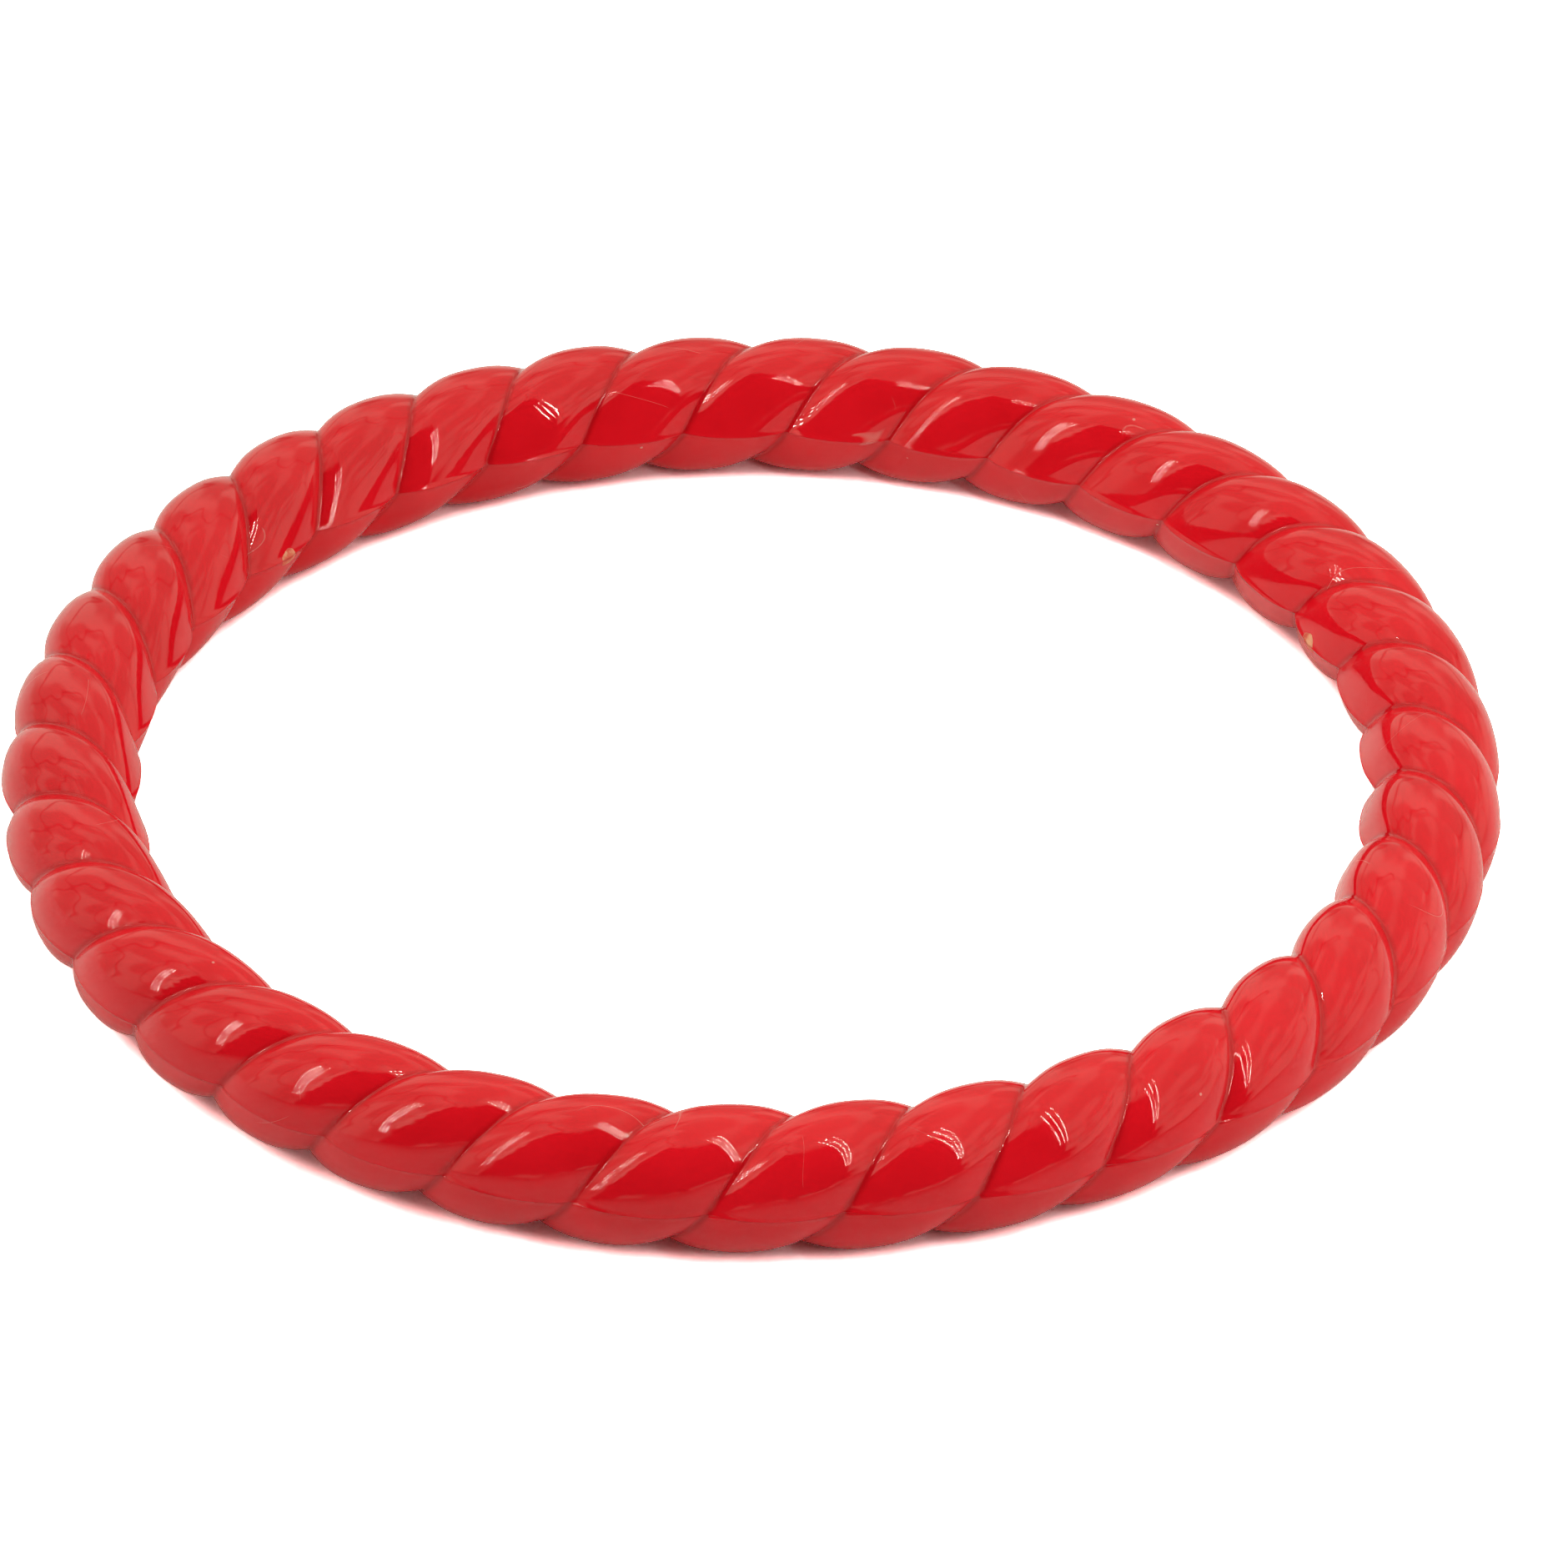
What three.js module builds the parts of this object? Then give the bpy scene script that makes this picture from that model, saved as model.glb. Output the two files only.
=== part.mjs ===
// A one-piece moulded plastic ring with a two-strand rope twist, lying flat.
// Units are millimetres and +Z is up. The origin is the middle of the circle that the ring
// stands on: the ring's axis is Z, and its parting plane lies at half its height.
import * as THREE from 'three';

// Driving dimensions.
const CENTRELINE_RADIUS = 36.2;     // ring axis to the middle of the rope
const CREST_RADIUS = 3.7;           // middle of the rope to the back of a strand
const VALLEY_RATIO = 0.81;          // groove bottom's radius over the crest's
const STRAND_WIDENESS = 1.08;       // a strand's width over its depth, because the cut is slanted
const TURNS = 18;                   // full turns of the twist round the ring, left-handed
const TWIST_PHASE = 150;            // degrees: where the first strand's back lies at the +X side
const HEIGHT_RATIO = 1.03;          // the rope is a little taller than it is wide
const INNER_WALL_DRAFT = 12;        // degrees that the bore leans back from the parting line

// Facets. A slice turns the twist by exactly one side of the section, so that each groove runs
// along triangle edges and stays a clean crease.
const SIDES = 18;
const SLICES = TURNS * SIDES;

const FULL_TURN = 2 * Math.PI;
const radians = THREE.MathUtils.degToRad;

// A strand's section is an ellipse whose middle stands off the rope's middle. Its offset follows
// from the crest and valley radii, found by halving the range that holds it.
function strandEllipse() {
  let low = 0;
  let high = CREST_RADIUS / 2;
  for (let step = 0; step < 60; step += 1) {
    const offset = (low + high) / 2;
    const depth = CREST_RADIUS - offset;
    const valley = STRAND_WIDENESS * Math.sqrt(depth * depth - offset * offset);
    if (valley > VALLEY_RATIO * CREST_RADIUS) {
      low = offset;
    } else {
      high = offset;
    }
  }
  const depth = CREST_RADIUS - low;
  return { offset: low, depth, width: STRAND_WIDENESS * depth };
}

// Distance from the rope's middle to its surface, at an angle from the nearest strand's back.
function ropeRadius(strand, angle) {
  const c = Math.abs(Math.cos(angle));
  const s = Math.sin(angle);
  const { offset, depth, width } = strand;
  const spread = width * width * c * c + depth * depth * s * s;
  const root = depth * width * Math.sqrt(spread - offset * offset * s * s);
  return (offset * width * width * c + root) / spread;
}

// One slice of the rope before moulding: points [outwards, up] about the rope's middle, from the
// outer parting line over the top, round the bore side and back under.
function ropeSlice(strand, crestAngle) {
  const points = [];
  for (let side = 0; side < SIDES; side += 1) {
    const angle = FULL_TURN * side / SIDES;
    const radius = ropeRadius(strand, angle - crestAngle);
    const up = radius * Math.sin(angle);
    let out = radius * Math.cos(angle);
    if (out < 0) {
      const fade = 1 - Math.abs(up) / CREST_RADIUS;
      out += Math.tan(radians(INNER_WALL_DRAFT)) * Math.abs(up) * fade;
    }
    points.push([out, up * HEIGHT_RATIO]);
  }
  return points;
}

// Each mould half lifts straight off, so no point may stand further out than the points nearer
// the parting line. Where a groove would undercut, it is filled by an upright web.
function fillUndercuts(points) {
  const half = SIDES / 2;
  const quarter = Math.floor(half / 2);
  const filled = points.map((point) => [...point]);
  for (let step = quarter - 1; step >= 0; step -= 1) {
    for (const direction of [1, -1]) {
      const outer = (SIDES + direction * step) % SIDES;
      const outerAbove = (SIDES + direction * (step + 1)) % SIDES;
      filled[outer][0] = Math.max(filled[outer][0], filled[outerAbove][0]);
      const inner = half - direction * step;
      const innerAbove = half - direction * (step + 1);
      filled[inner][0] = Math.min(filled[inner][0], filled[innerAbove][0]);
    }
  }
  return filled;
}

// The whole surface: slices set round the ring, joined by pairs of triangles whose shared edge
// follows the twist.
function ringGeometry() {
  const strand = strandEllipse();
  const positions = [];
  for (let slice = 0; slice < SLICES; slice += 1) {
    const around = FULL_TURN * slice / SLICES;
    const crestAngle = TURNS * around + radians(TWIST_PHASE);
    for (const [out, up] of fillUndercuts(ropeSlice(strand, crestAngle))) {
      const radius = CENTRELINE_RADIUS + out;
      positions.push(radius * Math.cos(around), radius * Math.sin(around), up);
    }
  }
  const indices = [];
  for (let slice = 0; slice < SLICES; slice += 1) {
    const here = slice * SIDES;
    const next = ((slice + 1) % SLICES) * SIDES;
    for (let side = 0; side < SIDES; side += 1) {
      const above = (side + 1) % SIDES;
      indices.push(here + side, next + side, next + above);
      indices.push(here + side, next + above, here + above);
    }
  }
  const geometry = new THREE.BufferGeometry();
  geometry.setAttribute('position', new THREE.Float32BufferAttribute(positions, 3));
  geometry.setIndex(indices);
  geometry.computeVertexNormals();
  return geometry;
}

// The ring stands on the backs of its strands, so its lowest point sets where the floor is.
function standOnFloor(geometry) {
  geometry.computeBoundingBox();
  geometry.translate(0, 0, -geometry.boundingBox.min.z);
  return geometry;
}

const redPlastic = new THREE.MeshStandardMaterial({
  color: 0xc8101c,
  roughness: 0.12,
  metalness: 0,
});

const ring = new THREE.Mesh(standOnFloor(ringGeometry()), redPlastic);
ring.name = 'ring';

const part = new THREE.Group();
part.add(ring);

export default part;
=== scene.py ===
# %% [markdown]
# # A twisted plastic ring
#
# The real thing is one solid moulding in glossy red plastic: a ring as wide as a palm, whose
# section looks like a short rope of two strands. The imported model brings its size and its
# faceted solid. This script makes the fine surface, the finish and a small white studio.
#
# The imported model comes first, because every size below is worked out from it.

import math
import random

import bpy
from mathutils import Matrix, Vector


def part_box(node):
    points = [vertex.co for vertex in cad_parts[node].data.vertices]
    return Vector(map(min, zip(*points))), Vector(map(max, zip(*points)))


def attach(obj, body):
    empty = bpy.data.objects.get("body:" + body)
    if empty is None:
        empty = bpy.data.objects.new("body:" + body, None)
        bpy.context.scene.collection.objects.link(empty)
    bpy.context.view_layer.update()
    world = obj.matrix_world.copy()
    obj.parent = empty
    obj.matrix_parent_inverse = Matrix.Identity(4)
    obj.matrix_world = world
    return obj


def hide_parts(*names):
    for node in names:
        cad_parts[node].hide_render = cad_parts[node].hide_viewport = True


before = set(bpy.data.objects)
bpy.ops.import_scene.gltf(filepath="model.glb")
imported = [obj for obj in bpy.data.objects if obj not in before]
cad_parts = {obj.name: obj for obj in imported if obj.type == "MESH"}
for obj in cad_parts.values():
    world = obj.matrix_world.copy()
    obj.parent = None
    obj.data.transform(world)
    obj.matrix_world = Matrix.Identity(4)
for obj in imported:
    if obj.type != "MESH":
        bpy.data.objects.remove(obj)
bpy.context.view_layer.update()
ring_low, ring_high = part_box("ring")
print("packed ring, mm:", [round(1000 * side, 2) for side in ring_high - ring_low])

# %% [markdown]
# ## Camera
#
# A ring lying flat is best seen from about a third of the way up. A long lens from half a
# metre keeps the far side nearly as large as the near side, as a product picture does.
# The camera is built from its own three axes, so that its tilt is plain to read: right, up and
# back become the columns of its matrix.

# %% Camera
MM = 0.001
CREST_RADIUS = 3.7 * MM
HEIGHT_RATIO = 1.03
CENTRELINE_RADIUS = ring_high.x - CREST_RADIUS
MIDDLE_HEIGHT = CREST_RADIUS * HEIGHT_RATIO

CAMERA_ELEVATION = math.radians(34.64)
CAMERA_AZIMUTH = math.radians(-0.13)
CAMERA_ROLL = math.radians(0.24)
CAMERA_DISTANCE = 13.36 * CENTRELINE_RADIUS
LENS = 208.3
AIM_RIGHT = 1.71 * MM
AIM_DOWN = 0.92 * MM
CLIP_NEAR = 0.01
CLIP_FAR = 20


def make_camera():
    """Looks at the ring from the front, a little to the right of and below its middle."""
    turn = Matrix.Rotation(CAMERA_AZIMUTH, 4, "Z")
    right = turn @ Vector((1, 0, 0))
    back = turn @ Vector((0, -math.cos(CAMERA_ELEVATION), math.sin(CAMERA_ELEVATION)))
    up = back.cross(right)
    middle = Vector((0, 0, MIDDLE_HEIGHT))
    place = middle + back * CAMERA_DISTANCE
    back = (place - (middle + right * AIM_RIGHT - up * AIM_DOWN)).normalized()
    right = up.cross(back).normalized()
    up = back.cross(right)
    facing = Matrix((right, up, back)).transposed().to_4x4()
    data = bpy.data.cameras.new("camera")
    data.lens = LENS
    data.clip_start = CLIP_NEAR
    data.clip_end = CLIP_FAR
    camera = bpy.data.objects.new("camera", data)
    bpy.context.scene.collection.objects.link(camera)
    camera.matrix_world = Matrix.Translation(place) @ facing @ Matrix.Rotation(CAMERA_ROLL, 4, "Z")
    bpy.context.scene.camera = camera


make_camera()
print("camera stands", round(CAMERA_DISTANCE, 3), "m away")

# %% [markdown]
# ## The rule of the rope
#
# Cut the ring across and the section is two ellipses that overlap, one for each strand. Going
# round the ring the pair turns steadily, eighteen times in all, so the two grooves wind round
# it like the lay of a rope. Two strands times eighteen turns make thirty-six humps, and every
# hump is the same. That is a rule, so Geometry Nodes make the surface: one hump is laid out on
# a grid, and thirty-six copies are set round the circle and merged.
#
# The rows of the grid are chosen so that one slice along the ring turns the twist by one row.
# Each groove then runs exactly along the diagonals of the grid, and stays a crisp crease.

# %% Sizes of the rope
STRANDS = 2
TURNS = 18
HUMPS = STRANDS * TURNS
VALLEY_RATIO = 0.81
STRAND_WIDENESS = 1.08
TWIST_PHASE = 150.0
ROW_STEP = 5.0
SEAM_STEP = 0.6
SLICES_PER_HUMP = round(360 / STRANDS / ROW_STEP)
ROWS_PER_HALF = round(180 / ROW_STEP) + 2
INNER_DRAFT = 18.0
OUTER_DRAFT = 3.0
FLASH = 0.02 * MM
GROOVE_MARK = "off_groove"
HALVINGS = 60


def strand_offset():
    """How far a strand's middle stands off the rope's middle, found by halving its range."""
    low, high = 0.0, CREST_RADIUS / 2
    for _ in range(HALVINGS):
        offset = (low + high) / 2
        depth = CREST_RADIUS - offset
        valley = STRAND_WIDENESS * math.sqrt(depth**2 - offset**2)
        if valley > VALLEY_RATIO * CREST_RADIUS:
            low = offset
        else:
            high = offset
    return low


STRAND_OFFSET = strand_offset()
STRAND_DEPTH = CREST_RADIUS - STRAND_OFFSET
STRAND_WIDTH = STRAND_DEPTH * STRAND_WIDENESS
print("strand offset, depth, width, mm:",
      [round(size / MM, 3) for size in (STRAND_OFFSET, STRAND_DEPTH, STRAND_WIDTH)])

# %% [markdown]
# ## Writing node trees by hand
#
# A tree built in a script is easier to read when each node is one call. `Sheet` keeps one
# tree and gives it short verbs: `node` adds a node and wires its inputs, `calc` adds a Math
# node, `remap` is a Map Range with soft ends, and `pick` is a Switch. A number goes straight
# into the socket, and a socket from another node is linked. Most noise nodes are used around
# the middle of their range, which therefore has a name.

# %% A helper for node trees
NOISE_MIDDLE = 0.5
FULL_TURN = 2 * math.pi


class Sheet:
    """One node tree, with short calls to add and wire its nodes."""

    def __init__(self, tree):
        self.tree = tree

    def node(self, kind, *inputs, **settings):
        made = self.tree.nodes.new(kind)
        for name, value in settings.items():
            setattr(made, name, value)
        for key, value in inputs:
            self.put(made.inputs[key], value)
        return made

    def put(self, socket, value):
        if isinstance(value, bpy.types.NodeSocket):
            self.tree.links.new(value, socket)
        else:
            socket.default_value = value

    def calc(self, operation, *values):
        made = self.node("ShaderNodeMath", operation=operation)
        for socket, value in zip(made.inputs, values):
            self.put(socket, value)
        return made.outputs[0]

    def remap(self, value, low, high, to_low=0.0, to_high=1.0):
        made = self.node("ShaderNodeMapRange", ("Value", value), ("From Min", low),
                         ("From Max", high), ("To Min", to_low), ("To Max", to_high),
                         interpolation_type="SMOOTHSTEP")
        return made.outputs[0]

    def pick(self, switch, when_false, when_true):
        made = self.node("GeometryNodeSwitch", ("Switch", switch), ("False", when_false),
                         ("True", when_true), input_type="FLOAT")
        return made.outputs[0]


def new_group(name, inputs, outputs):
    """A Geometry Nodes group with named sockets, and its two end nodes."""
    tree = bpy.data.node_groups.new(name, "GeometryNodeTree")
    for label, kind, default in inputs:
        socket = tree.interface.new_socket(label, in_out="INPUT", socket_type=kind)
        if default is not None:
            socket.default_value = default
    for label, kind in outputs:
        tree.interface.new_socket(label, in_out="OUTPUT", socket_type=kind)
    sheet = Sheet(tree)
    start = sheet.node("NodeGroupInput")
    end = sheet.node("NodeGroupOutput")
    return sheet, start.outputs, end.inputs


# %% [markdown]
# ## How far out the surface lies
#
# Seen from the rope's middle, each strand's ellipse is a distance that depends only on the
# angle from that strand's back. Folding the angle with an absolute cosine serves both strands
# at once. This is a small group of its own, because the ring's tree needs it twice.

# %% Group: rope radius
FLOAT = "NodeSocketFloat"
INT = "NodeSocketInt"
VECTOR = "NodeSocketVector"
GEOMETRY = "NodeSocketGeometry"
MATERIAL = "NodeSocketMaterial"


def rope_radius_group():
    sheet, given, result = new_group(
        "rope_radius",
        [("Angle From Back", FLOAT, 0.0), ("Offset", FLOAT, STRAND_OFFSET),
         ("Depth", FLOAT, STRAND_DEPTH), ("Width", FLOAT, STRAND_WIDTH)],
        [("Radius", FLOAT)])
    calc = sheet.calc
    cosine = calc("ABSOLUTE", calc("COSINE", given["Angle From Back"]))
    sine = calc("SINE", given["Angle From Back"])
    width_2 = calc("POWER", given["Width"], 2)
    depth_2 = calc("POWER", given["Depth"], 2)
    offset_2 = calc("POWER", given["Offset"], 2)
    sine_2 = calc("POWER", sine, 2)
    spread = calc("ADD", calc("MULTIPLY", width_2, calc("POWER", cosine, 2)),
                  calc("MULTIPLY", depth_2, sine_2))
    root = calc("SQRT", calc("SUBTRACT", spread, calc("MULTIPLY", offset_2, sine_2)))
    reach = calc("MULTIPLY", calc("MULTIPLY", given["Depth"], given["Width"]), root)
    lean = calc("MULTIPLY", calc("MULTIPLY", given["Offset"], width_2), cosine)
    sheet.put(result["Radius"], calc("DIVIDE", calc("ADD", lean, reach), spread))
    return sheet.tree


rope_radius = rope_radius_group()
print("rope radius group has", len(rope_radius.nodes), "nodes")

# %% [markdown]
# ## One hump, then thirty-six
#
# Each vertex of the grid knows its slice (how far round the ring) and its row (how far round
# the section). The tree turns those into angles, asks the group above for the radius, and
# puts the vertex there.
#
# The ring is moulded in two halves that meet at mid height, which leaves four things to see.
# A half must lift straight out of its mould, so where a groove would undercut it is filled by
# an upright web: the repeat zone looks along the section from each vertex towards the top, and
# keeps the furthest reach that it finds. The walls lean back a little from the parting line,
# more in the bore. The two halves meet in small ledges at the grooves. And a hair of flash
# stands along the line itself, on a row of its own.
#
# A real moulding is never quite true either: it has shrunk a little unevenly. So a soft wave
# and a finer ripple move the finished surface by a few hundredths of a millimetre.

# %% Tree: twisted ring
COUNT_GUARD = 0.5
SEAM_GUARD = 1e-5
HALF_GUARD = 1e-4


def grid_angles(sheet, given):
    """The angle round the ring, and the angle round the section, of every grid vertex."""
    calc = sheet.calc
    index = sheet.node("GeometryNodeInputIndex").outputs[0]
    rows = 2 * ROWS_PER_HALF + 1
    slice_number = calc("FLOOR", calc("DIVIDE", calc("ADD", index, COUNT_GUARD), rows))
    row = calc("SUBTRACT", index, calc("MULTIPLY", slice_number, rows))
    around = calc("DIVIDE", calc("MULTIPLY", slice_number, FULL_TURN),
                  calc("MULTIPLY", given["Humps"], SLICES_PER_HUMP))
    half = calc("FLOOR", calc("DIVIDE", calc("ADD", row, COUNT_GUARD), ROWS_PER_HALF))
    step = calc("SUBTRACT", row, calc("MULTIPLY", half, ROWS_PER_HALF))
    degrees = calc("MULTIPLY", calc("SUBTRACT", step, 1), ROW_STEP)
    degrees = calc("MINIMUM", calc("MAXIMUM", degrees, SEAM_STEP), 180 - SEAM_STEP)
    on_seam = calc("LESS_THAN", step, COUNT_GUARD)
    degrees = calc("MULTIPLY", degrees, calc("SUBTRACT", 1, on_seam))
    degrees = calc("FLOORED_MODULO", calc("ADD", degrees, calc("MULTIPLY", half, 180)), 360)
    return around, calc("RADIANS", degrees), on_seam


def fold_to_seam(sheet, section):
    """A section angle as side (outer 1, bore -1), half (top 1, bottom -1) and angle from the seam."""
    calc = sheet.calc
    in_half = calc("FLOORED_MODULO", calc("ADD", section, SEAM_GUARD), math.pi)
    from_top = calc("ABSOLUTE", calc("SUBTRACT", in_half, math.pi / 2))
    from_seam = calc("SUBTRACT", math.pi / 2, from_top)
    side = calc("SUBTRACT", calc("MULTIPLY", calc("GREATER_THAN", calc("COSINE", section), 0), 2), 1)
    upper = calc("LESS_THAN", section, math.pi + HALF_GUARD)
    half = calc("SUBTRACT", calc("MULTIPLY", upper, 2), 1)
    return side, half, from_seam


def reach_at(sheet, given, crest, side, half, from_seam):
    """How far from the rope's middle the surface reaches, level, and how high, at one angle."""
    calc = sheet.calc
    base = calc("MULTIPLY", calc("LESS_THAN", side, 0), math.pi)
    angle = calc("ADD", base, calc("MULTIPLY", calc("MULTIPLY", side, half), from_seam))
    group = sheet.node("GeometryNodeGroup", node_tree=rope_radius)
    sheet.put(group.inputs["Angle From Back"], calc("SUBTRACT", angle, crest))
    for name in ("Offset", "Depth", "Width"):
        sheet.put(group.inputs[name], given["Strand " + name])
    radius = group.outputs[0]
    level = calc("MULTIPLY", radius, calc("COSINE", from_seam))
    rise = calc("MULTIPLY", radius, calc("SINE", from_seam))
    is_bore = calc("LESS_THAN", side, 0)
    draft = sheet.pick(is_bore, given["Outer Draft"], given["Bore Draft"])
    crest_radius = calc("ADD", given["Strand Offset"], given["Strand Depth"])
    fade = calc("SUBTRACT", 1, calc("DIVIDE", rise, crest_radius))
    fade = calc("MULTIPLY", fade, calc("COSINE", from_seam))
    lean = calc("MULTIPLY", calc("TANGENT", draft), calc("MULTIPLY", rise, fade))
    return calc("SUBTRACT", level, lean), rise


def fill_undercuts(sheet, given, crest, side, half, from_seam):
    """A repeat zone that keeps the furthest reach between a vertex and the top of its half."""
    calc = sheet.calc
    start = sheet.node("GeometryNodeRepeatInput")
    end = sheet.node("GeometryNodeRepeatOutput")
    start.pair_with_output(end)
    end.repeat_items.clear()
    end.repeat_items.new("FLOAT", "Reach")
    end.repeat_items.new("FLOAT", "Climb")
    sheet.put(start.inputs["Iterations"], given["Undercut Steps"])
    sheet.put(start.inputs["Reach"], 0.0)
    sheet.put(start.inputs["Climb"], 0.0)
    climbed = calc("MINIMUM", calc("ADD", from_seam, start.outputs["Climb"]), math.pi / 2)
    reach, _ = reach_at(sheet, given, crest, side, half, climbed)
    sheet.put(end.inputs["Reach"], calc("MAXIMUM", start.outputs["Reach"], reach))
    sheet.put(end.inputs["Climb"], calc("ADD", start.outputs["Climb"], math.radians(ROW_STEP)))
    return end.outputs["Reach"]


def place_hump(sheet, given):
    """The grid of one hump, each vertex in its place and marked with how far off a groove it is."""
    calc = sheet.calc
    around, section, on_seam = grid_angles(sheet, given)
    twist = calc("MULTIPLY", around, given["Turns"])
    crest = calc("ADD", twist, given["Twist Phase"])
    side, half, from_seam = fold_to_seam(sheet, section)
    _, rise = reach_at(sheet, given, crest, side, half, from_seam)
    reach = fill_undercuts(sheet, given, crest, side, half, from_seam)
    reach = calc("ADD", reach, calc("MULTIPLY", on_seam, given["Flash"]))
    out = calc("ADD", given["Centreline Radius"], calc("MULTIPLY", side, reach))
    rise = calc("MULTIPLY", calc("MULTIPLY", rise, half), given["Height Ratio"])
    height = calc("ADD", rise, given["Middle Height"])
    place = sheet.node("ShaderNodeCombineXYZ", (0, calc("MULTIPLY", out, calc("COSINE", around))),
                       (1, calc("MULTIPLY", out, calc("SINE", around))), (2, height))
    grid = sheet.node("GeometryNodeMeshGrid", ("Vertices X", SLICES_PER_HUMP + 1),
                      ("Vertices Y", 2 * ROWS_PER_HALF + 1))
    moved = sheet.node("GeometryNodeSetPosition", ("Geometry", grid.outputs["Mesh"]),
                       ("Position", place.outputs[0]))
    off_groove = calc("ABSOLUTE", calc("COSINE", calc("SUBTRACT", section, crest)))
    marked = sheet.node("GeometryNodeStoreNamedAttribute", ("Geometry", moved.outputs[0]),
                        ("Name", GROOVE_MARK), ("Value", off_groove), data_type="FLOAT",
                        domain="POINT")
    return marked.outputs[0]


def repeat_round(sheet, hump, given):
    """Copies of the hump on a full circle, realized and merged into one closed skin."""
    calc = sheet.calc
    points = sheet.node("GeometryNodePoints", ("Count", given["Humps"]))
    number = sheet.node("GeometryNodeInputIndex").outputs[0]
    turn = calc("DIVIDE", calc("MULTIPLY", number, FULL_TURN), given["Humps"])
    rotation = sheet.node("ShaderNodeCombineXYZ", (2, turn))
    copies = sheet.node("GeometryNodeInstanceOnPoints", ("Points", points.outputs[0]),
                        ("Instance", hump), ("Rotation", rotation.outputs[0]))
    real = sheet.node("GeometryNodeRealizeInstances", ("Geometry", copies.outputs[0]))
    merged = sheet.node("GeometryNodeMergeByDistance", ("Geometry", real.outputs[0]),
                        ("Distance", given["Merge Distance"]))
    return merged.outputs[0]


def unevenness(sheet, skin, given):
    """Moves the skin in and out along its normals by a soft wave and a finer ripple."""
    calc = sheet.calc
    pushes = []
    for name in ("Wave", "Ripple"):
        noise = sheet.node("ShaderNodeTexNoise", ("W", given["Seed"]),
                           ("Scale", given[name + " Scale"]), ("Detail", 0.0),
                           noise_dimensions="4D")
        centred = calc("SUBTRACT", noise.outputs[0], NOISE_MIDDLE)
        pushes.append(calc("MULTIPLY", centred, given[name + " Height"]))
    normal = sheet.node("GeometryNodeInputNormal").outputs[0]
    push = sheet.node("ShaderNodeVectorMath", (0, normal), ("Scale", calc("ADD", *pushes)),
                      operation="SCALE")
    moved = sheet.node("GeometryNodeSetPosition", ("Geometry", skin), ("Offset", push.outputs[0]))
    return moved.outputs[0]


def twisted_ring_tree():
    sheet, given, result = new_group(
        "twisted_ring",
        [("Centreline Radius", FLOAT, None), ("Middle Height", FLOAT, None),
         ("Humps", INT, None), ("Turns", INT, None), ("Twist Phase", FLOAT, None),
         ("Strand Offset", FLOAT, None), ("Strand Depth", FLOAT, None),
         ("Strand Width", FLOAT, None), ("Height Ratio", FLOAT, None),
         ("Outer Draft", FLOAT, None), ("Bore Draft", FLOAT, None), ("Flash", FLOAT, None),
         ("Undercut Steps", INT, None), ("Merge Distance", FLOAT, None),
         ("Wave Height", FLOAT, None), ("Wave Scale", FLOAT, None),
         ("Ripple Height", FLOAT, None), ("Ripple Scale", FLOAT, None), ("Seed", FLOAT, None),
         ("Material", MATERIAL, None)],
        [("Geometry", GEOMETRY)])
    skin = repeat_round(sheet, place_hump(sheet, given), given)
    skin = unevenness(sheet, skin, given)
    cut = sheet.node("GeometryNodeTriangulate", ("Mesh", skin), quad_method="FIXED")
    smooth = sheet.node("GeometryNodeSetShadeSmooth", (0, cut.outputs[0]))
    finish = sheet.node("GeometryNodeSetMaterial", ("Geometry", smooth.outputs[0]),
                        ("Material", given["Material"]))
    sheet.put(result["Geometry"], finish.outputs[0])
    return sheet.tree


ring_tree = twisted_ring_tree()
print("twisted ring tree has", len(ring_tree.nodes), "nodes")

# %% [markdown]
# ## From tree to piece
#
# The tree is run once on an empty mesh, with each of its inputs set one by one. What it makes is
# kept as a plain mesh, because a finished moulding has no modifiers.

# %% Helper: run a tree, keep a plain mesh
def run_tree(name, tree, values):
    """Evaluates a Geometry Nodes tree with named input values, and keeps the mesh it makes."""
    seedling = bpy.data.objects.new(name + "_maker", bpy.data.meshes.new(name + "_empty"))
    bpy.context.scene.collection.objects.link(seedling)
    modifier = seedling.modifiers.new("maker", "NODES")
    modifier.node_group = tree
    sockets = {item.name: item.identifier for item in tree.interface.items_tree
               if item.item_type == "SOCKET" and item.in_out == "INPUT"}
    for label, value in values.items():
        modifier[sockets[label]] = value
    graph = bpy.context.evaluated_depsgraph_get()
    mesh = bpy.data.meshes.new_from_object(seedling.evaluated_get(graph), depsgraph=graph)
    bpy.data.objects.remove(seedling)
    mesh.name = name
    piece = bpy.data.objects.new(name, mesh)
    bpy.context.scene.collection.objects.link(piece)
    return piece
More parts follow.
